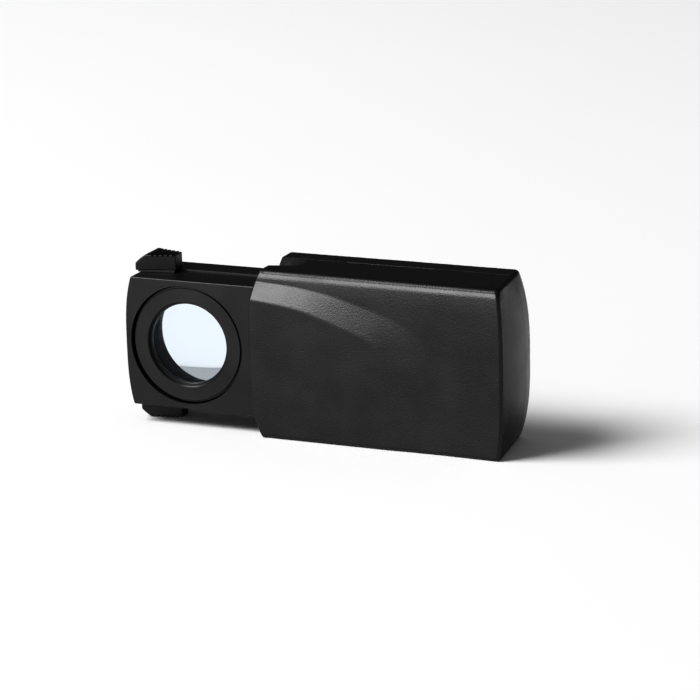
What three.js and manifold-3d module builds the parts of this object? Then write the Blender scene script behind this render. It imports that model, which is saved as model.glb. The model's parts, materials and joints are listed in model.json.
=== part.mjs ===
// A pull-out pocket loupe: a flat black sleeve, a slide that draws out of its mouth with a round
// lens in its head, and a lens carriage that shifts a little in the slide to bring it into focus.
//
// Millimetres. The origin is the centre of the narrow face the loupe stands on. +X runs along the
// sleeve towards its closed end, -Y is the front, +Z is up. The slide is modelled drawn out.
import * as THREE from 'three';
import { mergeVertices } from 'three/addons/utils/BufferGeometryUtils.js';
import Module from 'manifold-3d';

const wasm = await Module();
wasm.setup();

// ---------------------------------------------------------------- driving dimensions

const HEIGHT = 36;
const MIDDLE_Z = HEIGHT / 2;
const TRAVEL = 28.6; // from drawn out to pushed in
const FOCUS = 0.4; // the carriage's play each way
const RUN = 0.3; // running clearance between pieces that move

const SLEEVE = {
  halfLength: 26, // to its corners; the ends bulge past them
  halfDepth: 8.9,
  endBulge: 2.45,
  planBulge: 0.9, // how far the closed end is crowned from front to back
  corner: 1.6,
  edge: 0.8, // rounding of the front and back edges
  parting: 3.9, // where the front and rear covers meet
};
const CHANNEL = { right: 25.4, front: -7, back: 7.7, bottom: 3.45, top: HEIGHT - 3.45 };
const SCOOP = { depth: 1.15, end: 26.6 }; // relief over the front face, nothing at its end

const SLIDE = {
  left: -56.6,
  endBulge: 1.4,
  corner: 0.5,
  edge: 0.2,
  bottom: 3.95,
  step: 0.25, // the rear frame stands this far past the front one, top and bottom
  front: -6.75,
  back: 7.45,
  parting: 1.7,
  innerEnd: -18.6, // right end of the middle of the frame
  armEnd: -7.4, // right end of the two guide arms
  armHeight: 5,
};
SLIDE.top = HEIGHT - SLIDE.bottom;

const LENS_X = -43.9;
const CELL = {
  radius: 12.64,
  bore: 10.6,
  lip: 9.15,
  innerLip: 8.7,
  front: -5.85,
  length: 11.35,
  lipStep: 0.9,
  lipDepth: 1.7,
};
const EYE_BORE = CELL.radius + RUN; // bore of the slide around the cell
const REAR_WINDOW = 11.2;
const FLANGE = 1.15; // thickness of the rear wall that stops the cell
const GLASS_RADIUS = 10.4;
const GLASS_EDGE = 1.6;
const OUTER_SAG = 0.9;
const INNER_SAG = 1.3;

const GRIP = {
  left: -57, // wide end
  right: -48.3, // narrow end, which enters the notch first
  middleY: 0.5,
  wideHalf: 3.9,
  narrowHalf: 1.7,
  underside: SLIDE.top + SLIDE.step + 0.3,
  slope: 2, // the wide end leans in by this much over the top of its height
  ribs: 5,
  ribStart: 3.7,
  ribPitch: 1.05,
  ribWidth: 0.5,
  ribDepth: 0.35,
};
const STEM = { left: -51.6, right: -48.9, halfDepth: 1.5, seat: 31 };

const CELL_STACK = { x: 16.6, radius: 4.75, height: 2.7, count: 3, back: 7.4, gap: 0.02 };
const WELL_WALL = 0.8;
const BATTERY_DOOR = { left: 11.6, right: 25.9, bottom: 11, top: 25, gap: 0.15, screwX: 23.5 };
const TRACK = { fromMiddle: 11.7, width: 1.4, back: CHANNEL.front - 0.2, thickness: 0.25 };
const SCREW = { shank: 0.6, hole: 0.9, head: 1.15, counterbore: 1.4, headHeight: 0.7 };
const LED = { x: -30.9, z: 28.95, radius: 1.5, rim: 1.7, base: 1.6 };
const BAY = { left: -33.2, right: -19.8, bottom: 5.2, front: -4.6, back: 6.2, wallRadius: 14.1 };
const PRY_SLOT = { left: -11.2, right: 8.2, width: 0.7, depth: 0.8 };

// ---------------------------------------------------------------- solids

/** Closed mesh to solid: vertices merged, triangles without area left out, faces pointing out. */
function solidOf(geometry) {
  const bare = geometry.clone();
  bare.deleteAttribute('normal');
  bare.deleteAttribute('uv');
  const merged = mergeVertices(bare, 1e-4);
  const index = merged.index.array;
  const triangles = [];
  for (let i = 0; i < index.length; i += 3) {
    const [a, b, c] = [index[i], index[i + 1], index[i + 2]];
    if (a !== b && b !== c && c !== a) triangles.push(a, b, c);
  }
  const build = (triVerts) =>
    new wasm.Manifold(
      new wasm.Mesh({
        numProp: 3,
        vertProperties: new Float32Array(merged.attributes.position.array),
        triVerts: new Uint32Array(triVerts),
      }),
    );
  const solid = build(triangles);
  return solid.volume() > 0 ? solid : build(triangles.reverse());
}

function geometryOf(solid) {
  const mesh = solid.getMesh();
  const geometry = new THREE.BufferGeometry();
  geometry.setAttribute('position', new THREE.BufferAttribute(mesh.vertProperties, 3));
  geometry.setIndex(new THREE.BufferAttribute(mesh.triVerts, 1));
  geometry.computeVertexNormals();
  return geometry;
}

const join = (first, ...rest) => rest.reduce((sum, solid) => sum.add(solid), first);
const cut = (first, ...rest) => rest.reduce((left, solid) => left.subtract(solid), first);

/** Box between two values on each axis. */
function box([x0, x1], [y0, y1], [z0, z1]) {
  const geometry = new THREE.BoxGeometry(x1 - x0, y1 - y0, z1 - z0);
  return solidOf(geometry.translate((x0 + x1) / 2, (y0 + y1) / 2, (z0 + z1) / 2));
}

/** Round bar along Y, centred on (x, z). */
function rod(x, z, radius, [y0, y1], sides = 16) {
  const geometry = new THREE.CylinderGeometry(radius, radius, y1 - y0, sides);
  return solidOf(geometry.translate(x, (y0 + y1) / 2, z));
}

/** Turned piece about an axis along Y through (x, z); the profile is [radius, y] pairs. */
function turned(x, z, profile, sides = 32) {
  const points = profile.map(([radius, y]) => new THREE.Vector2(radius, y));
  return solidOf(new THREE.LatheGeometry(points, sides).translate(x, 0, z));
}

/** Outline drawn in X and Z, carried through Y, with optional rounding of its two faces. */
function plate(shape, [y0, y1], edge = 0, edgeSteps = 2, curveSegments = 6) {
  const geometry = new THREE.ExtrudeGeometry(shape, {
    depth: y1 - y0 - 2 * edge,
    curveSegments,
    bevelEnabled: edge > 0,
    bevelThickness: edge,
    bevelSize: edge,
    bevelOffset: -edge,
    bevelSegments: edgeSteps,
  });
  return solidOf(geometry.rotateX(Math.PI / 2).translate(0, y1 - edge, 0));
}

/** Outline drawn in X and Y, carried through Z. */
function column(shape, [z0, z1], curveSegments = 8) {
  const geometry = new THREE.ExtrudeGeometry(shape, { depth: z1 - z0, bevelEnabled: false, curveSegments });
  return solidOf(geometry.translate(0, 0, z0));
}

/** Outline of a bent strip of even thickness that follows the points. */
function stripOutline(points, thickness) {
  const at = points.map(([u, v]) => new THREE.Vector2(u, v));
  const side = (sign) =>
    at.map((point, i) => {
      const before = at[Math.max(i - 1, 0)];
      const after = at[Math.min(i + 1, at.length - 1)];
      const along = after.clone().sub(before).normalize();
      const across = new THREE.Vector2(-along.y, along.x).multiplyScalar((sign * thickness) / 2);
      return point.clone().add(across);
    });
  return new THREE.Shape([...side(1), ...side(-1).reverse()]);
}

/** The same solid on the other side of the middle height. */
function mirrored(solid) {
  return solid.translate([0, 0, -MIDDLE_Z]).mirror([0, 0, 1]).translate([0, 0, MIDDLE_Z]);
}

const bothSides = (solid) => join(solid, mirrored(solid));

// ---------------------------------------------------------------- sleeve

/** One barrel-shaped end: from the current point on the lower corner to the upper one. */
function barrelEnd(shape, x, bulge, bottom, top) {
  const reach = (bulge * 4) / 3; // a cubic's middle stands at 3/4 of its controls
  const shoulder = (top - bottom) * 0.2;
  const [from, to] = shape.currentPoint.y < MIDDLE_Z ? [bottom, top] : [top, bottom];
  const inward = Math.sign(to - from) * shoulder;
  shape.bezierCurveTo(x + reach, from + inward, x + reach, to - inward, x, to);
}

function sleeveOutline() {
  const { halfLength: half, corner, endBulge } = SLEEVE;
  const inner = half - corner;
  const shape = new THREE.Shape();
  shape.moveTo(-inner, 0);
  shape.lineTo(inner, 0);
  shape.quadraticCurveTo(half, 0, half, corner);
  barrelEnd(shape, half, endBulge, corner, HEIGHT - corner);
  shape.quadraticCurveTo(half, HEIGHT, inner, HEIGHT);
  shape.lineTo(-inner, HEIGHT);
  shape.quadraticCurveTo(-half, HEIGHT, -half, HEIGHT - corner);
  barrelEnd(shape, -half, -endBulge, corner, HEIGHT - corner);
  shape.quadraticCurveTo(-half, 0, -inner, 0);
  return shape;
}

/** Standing cylinder whose rim crowns the closed end from front to back. */
function endCrown() {
  const { halfDepth, planBulge, halfLength, endBulge } = SLEEVE;
  const radius = (halfDepth ** 2 + planBulge ** 2) / (2 * planBulge);
  const geometry = new THREE.CylinderGeometry(radius, radius, HEIGHT + 2, 96);
  geometry.rotateX(Math.PI / 2).translate(halfLength + endBulge - radius, 0, MIDDLE_Z);
  return solidOf(geometry);
}

function sleeveBlock() {
  const depth = [-SLEEVE.halfDepth, SLEEVE.halfDepth];
  return plate(sleeveOutline(), depth, SLEEVE.edge, 2, 7).intersect(endCrown());
}

function slideChannel() {
  const { right, front, back, bottom, top } = CHANNEL;
  return box([-SLEEVE.halfLength - 6, right], [front, back], [bottom, top]);
}

/** Tapered opening in the mouth, top and bottom, that takes the grips as the slide goes home. */
function gripNotch() {
  const room = FOCUS + RUN;
  const wide = GRIP.wideHalf + room;
  const narrow = GRIP.narrowHalf + room;
  const mouthX = GRIP.left + TRAVEL;
  const tipX = GRIP.right + TRAVEL + RUN;
  const shape = new THREE.Shape();
  shape.moveTo(mouthX - 6, GRIP.middleY - wide);
  shape.lineTo(mouthX, GRIP.middleY - wide);
  shape.lineTo(tipX - 1, GRIP.middleY - narrow);
  shape.quadraticCurveTo(tipX, GRIP.middleY - narrow, tipX, GRIP.middleY);
  shape.quadraticCurveTo(tipX, GRIP.middleY + narrow, tipX - 1, GRIP.middleY + narrow);
  shape.lineTo(mouthX, GRIP.middleY + wide);
  shape.lineTo(mouthX - 6, GRIP.middleY + wide);
  return column(shape, [-1, HEIGHT + 1]);
}

/** Wedge cut off the front face above and beyond the raised palm rest. */
function scoop() {
  const left = -SLEEVE.halfLength - 6;
  const shape = new THREE.Shape();
  shape.moveTo(left, HEIGHT + 2);
  shape.lineTo(left, 32);
  shape.lineTo(-22, 31.7);
  shape.quadraticCurveTo(-10, 30.3, 0, 26.5);
  shape.quadraticCurveTo(5.5, 24, 6, 16);
  shape.lineTo(6, -2);
  shape.lineTo(SCOOP.end, -2);
  shape.lineTo(SCOOP.end, HEIGHT + 2);
  const slope = Math.atan(SCOOP.depth / (SCOOP.end + SLEEVE.halfLength));
  const thickness = 3;
  const geometry = new THREE.ExtrudeGeometry(shape, { depth: thickness, bevelEnabled: false });
  geometry.rotateX(Math.PI / 2).translate(-SCOOP.end, 0, 0).rotateZ(-slope);
  return solidOf(geometry.translate(SCOOP.end, -SLEEVE.halfDepth, 0));
}

const CASE_SCREWS = [-14, 21.5].flatMap((x) => [2, HEIGHT - 2].map((z) => ({ x, z })));
const HEAD_SEAT = SLEEVE.halfDepth - 0.9;

function screwHole({ x, z }, seat, face, tip) {
  return join(
    rod(x, z, SCREW.hole, [tip, seat + 0.1], 12),
    rod(x, z, SCREW.counterbore, [seat, face + 0.5]),
  );
}

/** Screw with its head resting on the seat, its tip towards -Y, and a cross in its head. */
function screw({ x, z }, seat, tip) {
  const top = seat + SCREW.headHeight;
  const slot = (halfX, halfZ) => box([x - halfX, x + halfX], [top - 0.35, top + 1], [z - halfZ, z + halfZ]);
  const body = turned(x, z, [
    [0, tip], [SCREW.shank * 0.4, tip], [SCREW.shank, tip + 0.8], [SCREW.shank, seat],
    [SCREW.head, seat], [SCREW.head, top - 0.2], [SCREW.head - 0.25, top], [0, top],
  ], 12);
  return cut(body, join(slot(0.7, 0.13), slot(0.13, 0.7)));
}

/** Groove for the stop lugs of the slide's arms; its left end stops the slide. */
function stopGroove() {
  const lugLeft = SLIDE.armEnd - 1.2;
  const x = [lugLeft - RUN, SLIDE.armEnd + TRAVEL + RUN];
  return bothSides(box(x, [-4.5 - RUN, -1.5 + RUN], [CHANNEL.top - 0.1, CHANNEL.top + 0.9]));
}

// Under the front frame only, because the rear frame stands lower.
const FRICTION_BED = { x: [-6, 6], y: [-0.9, SLIDE.parting + 0.2], z: [2.7, CHANNEL.bottom + 0.1] };

function trackSpan(grow) {
  const z = MIDDLE_Z + TRACK.fromMiddle;
  return [z - TRACK.width / 2 - grow, z + TRACK.width / 2 + grow];
}

/** The two contact strips' outlines as solids, grown by a margin to make their beds. */
function upperStripBody(grow, depth) {
  const halfBranch = TRACK.width / 2 + grow;
  return join(
    box([-12.7 - grow, 18.4 + grow], depth, trackSpan(grow)),
    box([CELL_STACK.x - halfBranch, CELL_STACK.x + halfBranch], depth, [MIDDLE_Z, trackSpan(grow)[1]]),
    rod(CELL_STACK.x, MIDDLE_Z, 3.4 + grow, depth),
  );
}

const LOWER_RUN = [8.4, 9.4];

function lowerStripBody(grow, depth) {
  const low = HEIGHT - trackSpan(0)[1];
  const halfBranch = TRACK.width / 2 + grow;
  return join(
    box([-12.7 - grow, -6.5 + grow], depth, [low - grow, LOWER_RUN[1] + grow]),
    box([-8, CELL_STACK.x + halfBranch], depth, [LOWER_RUN[0] - grow, LOWER_RUN[1] + grow]),
    box([CELL_STACK.x - halfBranch, CELL_STACK.x + halfBranch], depth, [LOWER_RUN[0] - grow, 10.5 + grow]),
  );
}

function frontCover() {
  const half = sleeveBlock().intersect(box([-40, 40], [-20, SLEEVE.parting], [-5, HEIGHT + 5]));
  const wellRadius = CELL_STACK.radius + 0.2;
  const well = cut(
    rod(CELL_STACK.x, MIDDLE_Z, wellRadius + WELL_WALL, [CHANNEL.front - 0.1, SLEEVE.parting], 32),
    rod(CELL_STACK.x, MIDDLE_Z, wellRadius, [CHANNEL.front, SLEEVE.parting + 1], 32),
  );
  const post = { x: BATTERY_DOOR.screwX, z: MIDDLE_Z };
  const postSolid = cut(
    rod(post.x, post.z, 1.7, [CHANNEL.front - 0.1, CHANNEL.back - 0.1]),
    rod(post.x, post.z, SCREW.hole, [2.5, CHANNEL.back + 1], 12),
  );
  const bed = [CHANNEL.front - 0.5, CHANNEL.front + 0.1];
  return cut(
    join(cut(half, slideChannel(), gripNotch(), scoop()), well, postSolid),
    stopGroove(),
    box(FRICTION_BED.x, FRICTION_BED.y, FRICTION_BED.z),
    upperStripBody(RUN, bed),
    lowerStripBody(RUN, bed),
    ...CASE_SCREWS.map(({ x, z }) => rod(x, z, SCREW.hole, [0.5, SLEEVE.parting + 1], 12)),
  );
}

function rearCover() {
  const half = sleeveBlock().intersect(box([-40, 40], [SLEEVE.parting, 20], [-5, HEIGHT + 5]));
  const { left, right, bottom, top } = BATTERY_DOOR;
  const slot = box(
    [PRY_SLOT.left, PRY_SLOT.right],
    [SLEEVE.parting - 1, SLEEVE.parting + PRY_SLOT.width],
    [HEIGHT - PRY_SLOT.depth, HEIGHT + 1],
  );
  return cut(
    half,
    slideChannel(),
    gripNotch(),
    box([left, right], [CHANNEL.back - 1, SLEEVE.halfDepth + 1], [bottom, top]),
    slot,
    ...CASE_SCREWS.map((place) => screwHole(place, HEAD_SEAT, SLEEVE.halfDepth, SLEEVE.parting - 1)),
  );
}

const DOOR_SCREW = { x: BATTERY_DOOR.screwX, z: MIDDLE_Z };

/** Lid over the cells: two tongues under the rear cover at its left, one screw at its right. */
function batteryDoor() {
  const { left, right, bottom, top, gap } = BATTERY_DOOR;
  const lid = box([left + gap, right - gap], [CHANNEL.back, SLEEVE.halfDepth], [bottom + gap, top - gap]);
  const tongue = join(
    box([left - 1.1, left + 1], [CHANNEL.back - 0.7, CHANNEL.back - 0.05], [12, 14]),
    box([left + gap, left + 1], [CHANNEL.back - 0.7, CHANNEL.back + 0.1], [12, 14]),
  );
  return cut(
    join(lid, bothSides(tongue)),
    screwHole(DOOR_SCREW, HEAD_SEAT, SLEEVE.halfDepth, CHANNEL.back - 1),
  );
}

// ---------------------------------------------------------------- what the sleeve holds

function buttonCell(number) {
  const { x, radius, height, back, count, gap } = CELL_STACK;
  const y0 = back - (count - number) * height + gap / 2 - height;
  const y1 = y0 + height - gap;
  return turned(x, MIDDLE_Z, [
    [0, y0], [radius - 0.7, y0], [radius - 0.7, y0 + 0.25], [radius - 0.2, y0 + 0.3],
    [radius, y0 + 0.5], [radius, y1 - 0.2], [radius - 0.2, y1], [0, y1],
  ], 28);
}

/** Conical spring that presses the cells towards the lid. */
class ConeHelix extends THREE.Curve {
  constructor({ x, z, y0, y1, r0, r1, turns }) {
    super();
    Object.assign(this, { x, z, y0, y1, r0, r1, turns });
  }
  getPoint(t, target = new THREE.Vector3()) {
    const angle = t * this.turns * 2 * Math.PI;
    const radius = THREE.MathUtils.lerp(this.r0, this.r1, t);
    const y = THREE.MathUtils.lerp(this.y0, this.y1, t);
    return target.set(this.x + radius * Math.cos(angle), y, this.z + radius * Math.sin(angle));
  }
}

function wire(path, radius, steps) {
  const section = new THREE.Shape();
  section.absarc(0, 0, radius, 0, 2 * Math.PI);
  const options = { steps, extrudePath: path, curveSegments: 3, bevelEnabled: false };
  return solidOf(new THREE.ExtrudeGeometry(section, options));
}

function batterySpring() {
  const stackFront = CELL_STACK.back - CELL_STACK.count * CELL_STACK.height;
  const thickness = 0.25;
  const path = new ConeHelix({
    x: CELL_STACK.x,
    z: MIDDLE_Z,
    y0: TRACK.back + thickness + 0.05,
    y1: stackFront - thickness - 0.05,
    r0: 3,
    r1: 1.8,
    turns: 3.5,
  });
  return wire(path, thickness, 56);
}

/** Brass plate under the lid that meets the last cell. */
function batteryContact() {
  const y = [CELL_STACK.back, CELL_STACK.back + 0.25];
  const half = TRACK.width / 2;
  return join(
    rod(CELL_STACK.x, MIDDLE_Z, 3.8, y, 24),
    box([CELL_STACK.x - half, CELL_STACK.x + half], y, [10.6, MIDDLE_Z]),
  );
}

const STRIP_DEPTH = [TRACK.back - TRACK.thickness, TRACK.back];
const contactStripUpper = () => upperStripBody(0, STRIP_DEPTH);

/** Its pad meets the slide's wiper only when the slide is out: this is the lamp's switch. */
function contactStripLower() {
  const half = TRACK.width / 2;
  const riser = box([CELL_STACK.x - half, CELL_STACK.x + half], [STRIP_DEPTH[0], 7.3], [10.2, 10.5]);
  return join(lowerStripBody(0, STRIP_DEPTH), riser);
}

/** Bowed leaf under the slide that holds it where it is left. */
function frictionSpring() {
  const half = [[0, 3.75], [1, 3.6], [3, 2.95], [5.6, 3.1]];
  const otherHalf = half.slice(1).map(([x, z]) => [-x, z]).reverse();
  const bow = stripOutline([...otherHalf, ...half], 0.2);
  return plate(bow, [FRICTION_BED.y[0] + RUN, FRICTION_BED.y[1] - RUN]);
}

// ---------------------------------------------------------------- slide

/** Head and two guide arms; step makes the outline that much taller at the top and bottom. */
function slideOutline(step) {
  const { left, endBulge, corner, armEnd, innerEnd, armHeight } = SLIDE;
  const bottom = SLIDE.bottom - step;
  const top = SLIDE.top + step;
  const shape = new THREE.Shape();
  shape.moveTo(left + corner, bottom);
  shape.lineTo(armEnd, bottom);
  shape.lineTo(armEnd, bottom + armHeight);
  shape.lineTo(innerEnd, bottom + armHeight);
  shape.lineTo(innerEnd, top - armHeight);
  shape.lineTo(armEnd, top - armHeight);
  shape.lineTo(armEnd, top);
  shape.lineTo(left + corner, top);
  shape.quadraticCurveTo(left, top, left, top - corner);
  barrelEnd(shape, left, -endBulge, bottom + corner, top - corner);
  shape.quadraticCurveTo(left, bottom, left + corner, bottom);
  return shape;
}

const SLIDE_SCREWS = [{ x: -54.9, z: 6.2 }, { x: -54.9, z: HEIGHT - 6.2 }, { x: -21.2, z: MIDDLE_Z }];
const SLIDE_SEAT = SLIDE.back - 0.9;

function slideBlock(step) {
  return plate(slideOutline(step), [SLIDE.front, SLIDE.back], SLIDE.edge, 1);
}

/** Room inside the frame for the lamp, its board and the two wipers. */
function wiringBay() {
  const { left, right, bottom, front, back, wallRadius } = BAY;
  const depth = [front, back];
  const room = cut(
    box([left, right], depth, [bottom, HEIGHT - bottom]),
    rod(LENS_X, MIDDLE_Z, wallRadius, [front - 1, back + 1], 40),
    rod(SLIDE_SCREWS[2].x, MIDDLE_Z, 1.5, [front - 1, back + 1]),
  );
  const armRoom = box([right - 0.2, SLIDE.armEnd - 1.4], depth, [HEIGHT - bottom - 2.2, HEIGHT - bottom]);
  return join(room, bothSides(armRoom));
}

/** Openings at the top and bottom of the eye for the grips' stems, long enough to focus. */
function stemSlots() {
  const room = STEM.halfDepth + FOCUS + RUN;
  const y = [GRIP.middleY - room, GRIP.middleY + room];
  return bothSides(box([STEM.left - RUN, STEM.right + RUN], y, [27, SLIDE.top + 1]));
}

const eyeBore = () => rod(LENS_X, MIDDLE_Z, EYE_BORE, [SLIDE.front - 1, SLIDE.back - FLANGE], 48);

function slideFrontFrame() {
  const half = slideBlock(0).intersect(box([-60, 0], [-20, SLIDE.parting], [0, HEIGHT]));
  const lug = box([SLIDE.armEnd - 1.2, SLIDE.armEnd], [-4.5, -1.5], [SLIDE.top - 0.5, CHANNEL.top + 0.6]);
  const wiperWindow = box([-12.8, -9.1], [SLIDE.front - 1, BAY.front + 0.1], trackSpan(RUN));
  const pilots = SLIDE_SCREWS.map(({ x, z }) => rod(x, z, SCREW.hole, [-1.5, SLIDE.parting + 1], 12));
  return cut(
    join(half, bothSides(lug)),
    eyeBore(),
    wiringBay(),
    stemSlots(),
    bothSides(wiperWindow),
    ...pilots,
  );
}

function slideRearFrame() {
  const half = slideBlock(SLIDE.step).intersect(box([-60, 0], [SLIDE.parting, 20], [0, HEIGHT]));
  const holes = SLIDE_SCREWS.map((place) => screwHole(place, SLIDE_SEAT, SLIDE.back, SLIDE.parting - 1));
  return cut(
    half,
    eyeBore(),
    rod(LENS_X, MIDDLE_Z, REAR_WINDOW, [0, SLIDE.back + 1], 48),
    rod(LED.x, LED.z, LED.radius + RUN, [BAY.back - 1, SLIDE.back + 1]),
    wiringBay(),
    stemSlots(),
    ...holes,
  );
}

function led() {
  const { x, z, radius, rim, base } = LED;
  const shoulder = base + 3.8;
  const dome = [60, 40, 20].map((degrees) => {
    const angle = THREE.MathUtils.degToRad(90 - degrees);
    return [radius * Math.cos(angle), shoulder + radius * Math.sin(angle)];
  });
  return turned(x, z, [
    [0, base], [rim, base], [rim, base + 0.8], [radius, base + 0.8], [radius, shoulder],
    ...dome, [0, shoulder + radius],
  ], 16);
}

const ledBoard = () => box([-32.8, -27.6], [LED.base - 0.8, LED.base], [27.4, 30.6]);
const seriesResistor = () => box([-29.6, -28], [LED.base - 1.25, LED.base - 0.8], [28.4, 29.3]);

function ledWire() {
  const path = new THREE.CatmullRomCurve3([
    new THREE.Vector3(-28.2, 0.2, 26.9),
    new THREE.Vector3(-25.9, 0.2, 23.5),
    new THREE.Vector3(-24.8, 0, MIDDLE_Z),
    new THREE.Vector3(-25.4, 0, 12.5),
    new THREE.Vector3(-26.6, 0.2, 8.2),
  ]);
  return wire(path, 0.4, 16);
}

/** Sprung strip that runs along an arm and bears on the sleeve's contact strip. */
function wiperUpper() {
  const contactY = TRACK.back + 0.25;
  const run = [[-27.3, 1.2], [-15, 1.2], [-13.4, 0.4]];
  const toe = [[-11.6, contactY + 0.65], [-10.8, contactY], [-10.2, contactY + 0.45]];
  const outline = stripOutline([...run, ...toe], 0.24);
  return column(outline, trackSpan(0));
}

// ---------------------------------------------------------------- lens carriage

function lensCell() {
  const { radius, bore, lip, innerLip, front, length, lipStep, lipDepth } = CELL;
  const back = front + length;
  const barrel = turned(LENS_X, MIDDLE_Z, [
    [lip, front], [radius - 0.3, front], [radius, front + 0.3], [radius, back], [bore, back],
    [bore, front + lipDepth], [innerLip, front + lipDepth], [innerLip, front + lipStep],
    [lip, front + lipStep], [lip, front],
  ], 48);
  const depth = [GRIP.middleY - STEM.halfDepth, GRIP.middleY + STEM.halfDepth];
  const lug = box([STEM.left, STEM.right], depth, [27.65, STEM.seat]);
  return join(barrel, bothSides(lug));
}

/** Wedge that stands over the slide and seats on the cell's lug through the slot. */
function topGrip() {
  const { left, right, middleY, wideHalf, narrowHalf, underside, slope } = GRIP;
  const tip = 0.6;
  const shape = new THREE.Shape();
  shape.moveTo(left, middleY - wideHalf);
  shape.lineTo(right - tip, middleY - narrowHalf);
  shape.quadraticCurveTo(right, middleY - narrowHalf, right, middleY);
  shape.quadraticCurveTo(right, middleY + narrowHalf, right - tip, middleY + narrowHalf);
  shape.lineTo(left, middleY + wideHalf);
  const profile = new THREE.Shape();
  profile.moveTo(left, underside);
  profile.lineTo(right, underside);
  profile.lineTo(right, HEIGHT);
  profile.lineTo(left + slope, HEIGHT);
  profile.lineTo(left, HEIGHT - slope);
  const wedge = column(shape, [underside, HEIGHT]).intersect(plate(profile, [-10, 10]));
  const depth = [middleY - STEM.halfDepth, middleY + STEM.halfDepth];
  const stem = box([STEM.left, STEM.right], depth, [STEM.seat, underside + 0.1]);
  const grooves = Array.from({ length: GRIP.ribs }, (_, i) => {
    const x = left + GRIP.ribStart + i * GRIP.ribPitch;
    return box([x, x + GRIP.ribWidth], [-4, 7], [HEIGHT - GRIP.ribDepth, HEIGHT + 1]);
  });
  return cut(join(wedge, stem), ...grooves);
}

/** Points of a shallow spherical face from its rim to the axis. */
function crown(rimY, sag, steps = 4) {
  const sphere = (GLASS_RADIUS ** 2 + sag ** 2) / (2 * Math.abs(sag));
  return Array.from({ length: steps }, (_, i) => {
    const radius = GLASS_RADIUS * (1 - (i + 1) / steps);
    const rise = Math.sqrt(sphere ** 2 - radius ** 2) - (sphere - Math.abs(sag));
    return [radius, rimY + Math.sign(sag) * rise];
  });
}

/** Two-sided convex lens between its two rim planes. */
function lens(rimFront, rimBack, sagFront, sagBack) {
  return turned(LENS_X, MIDDLE_Z, [
    ...crown(rimFront, -sagFront).reverse(),
    [GLASS_RADIUS, rimFront],
    [GLASS_RADIUS, rimBack],
    ...crown(rimBack, sagBack),
  ], 36);
}

const CROWN_ROOM = 0.3; // between a lens rim and what holds it, because its face is already rising
const GLASS_FRONT = CELL.front + CELL.lipDepth + CROWN_ROOM;
const SPACER_FRONT = GLASS_FRONT + GLASS_EDGE + CROWN_ROOM;
const SPACER_LENGTH = 3.95;
const REAR_GLASS_FRONT = SPACER_FRONT + SPACER_LENGTH + CROWN_ROOM;
const RING_FRONT = REAR_GLASS_FRONT + GLASS_EDGE + CROWN_ROOM;
const RING_LENGTH = 1.3;

const frontLens = () => lens(GLASS_FRONT, GLASS_FRONT + GLASS_EDGE, OUTER_SAG, INNER_SAG);
const rearLens = () => lens(REAR_GLASS_FRONT, REAR_GLASS_FRONT + GLASS_EDGE, INNER_SAG, OUTER_SAG);

function tubeRing(outer, inner, y0, length) {
  const corners = [[inner, y0], [outer, y0], [outer, y0 + length], [inner, y0 + length], [inner, y0]];
  return turned(LENS_X, MIDDLE_Z, corners, 36);
}

const lensSpacer = () => tubeRing(GLASS_RADIUS, GLASS_RADIUS - 0.9, SPACER_FRONT, SPACER_LENGTH);
const retainingRing = () => tubeRing(CELL.bore - 0.2, GLASS_RADIUS - 1.3, RING_FRONT, RING_LENGTH);

// ---------------------------------------------------------------- materials and assembly

const finish = (color, roughness, metalness) =>
  new THREE.MeshStandardMaterial({ color, roughness, metalness });
const CASE_BLACK = () => finish(0x26272a, 0.5, 0);
const SATIN_BLACK = () => finish(0x1c1d1f, 0.45, 0);
const MATT_BLACK = () => finish(0x121314, 0.7, 0);
const STEEL = () => finish(0xb9bcc0, 0.3, 1);
const BRASS = () => finish(0xc9a14e, 0.35, 1);
const BOARD = () => finish(0x2c6b45, 0.6, 0);
const LAMP = () => finish(0xf4f6ff, 0.15, 0);
const COATED_GLASS = () => {
  const material = finish(0xdfe8f5, 0.02, 0);
  material.transparent = true;
  material.opacity = 0.35;
  return material;
};

function piece(name, solid, material) {
  const mesh = new THREE.Mesh(geometryOf(solid), material);
  mesh.name = name;
  return mesh;
}

const sleeve = new THREE.Group();
sleeve.add(
  piece('front_cover', frontCover(), CASE_BLACK()),
  piece('rear_cover', rearCover(), CASE_BLACK()),
  piece('battery_door', batteryDoor(), CASE_BLACK()),
  piece('battery_door_screw', screw(DOOR_SCREW, HEAD_SEAT, 3), STEEL()),
  piece('battery_spring', batterySpring(), STEEL()),
  piece('battery_contact', batteryContact(), BRASS()),
  piece('contact_strip_upper', contactStripUpper(), BRASS()),
  piece('contact_strip_lower', contactStripLower(), BRASS()),
  piece('friction_spring', frictionSpring(), STEEL()),
  ...CASE_SCREWS.map((place, i) => piece(`case_screw_${i + 1}`, screw(place, HEAD_SEAT, 0.8), STEEL())),
  ...[1, 2, 3].map((number) => piece(`button_cell_${number}`, buttonCell(number), STEEL())),
);

const slide = new THREE.Group();
slide.add(
  piece('slide_front_frame', slideFrontFrame(), SATIN_BLACK()),
  piece('slide_rear_frame', slideRearFrame(), SATIN_BLACK()),
  piece('led', led(), LAMP()),
  piece('led_board', ledBoard(), BOARD()),
  piece('series_resistor', seriesResistor(), MATT_BLACK()),
  piece('led_wire', ledWire(), finish(0xb3261e, 0.5, 0)),
  piece('wiper_upper', wiperUpper(), BRASS()),
  piece('wiper_lower', mirrored(wiperUpper()), BRASS()),
  ...SLIDE_SCREWS.map((place, i) => piece(`slide_screw_${i + 1}`, screw(place, SLIDE_SEAT, -1.2), STEEL())),
);

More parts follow.
